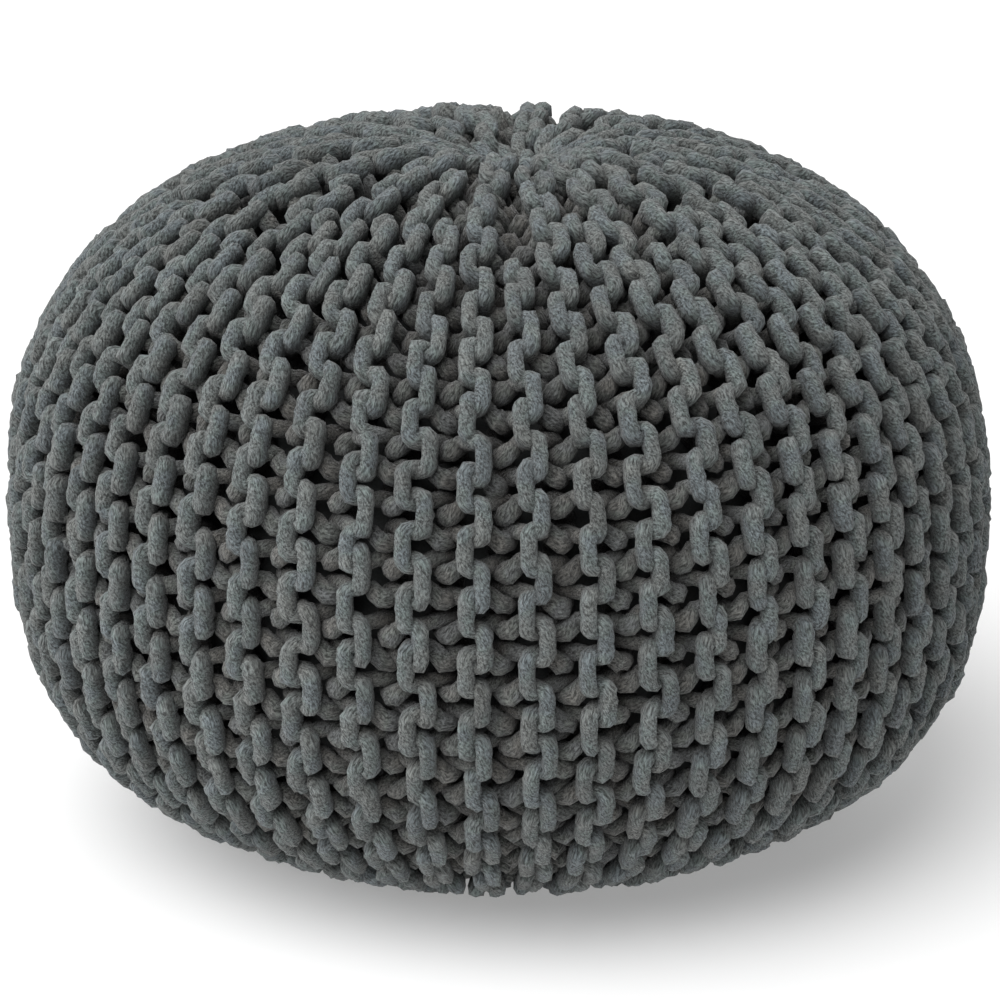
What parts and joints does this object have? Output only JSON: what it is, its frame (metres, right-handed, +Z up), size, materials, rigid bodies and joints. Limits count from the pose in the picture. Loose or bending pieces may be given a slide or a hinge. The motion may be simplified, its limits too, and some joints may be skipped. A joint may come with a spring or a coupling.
{
  "type": "knitted pouf",
  "caption": "Round stuffed floor pouf in a dark grey knitted cotton cord cover, its ridges running from a gathered crown down to a flat base; a soft seat or footrest.",
  "frame": {"origin": "middle of the flat base, on the floor", "axes": "+Z up to the gathered crown, +X to the right and +Y away from the viewer in the reference view"},
  "size_m": [0.502, 0.4996, 0.3601],
  "materials": {
    "cotton_cord": "matte dark grey cotton cord, soft and a little fuzzy"
  },
  "bodies": {
    "root": {"knitted_pouf": "cotton_cord"}
  },
  "joints": []
}
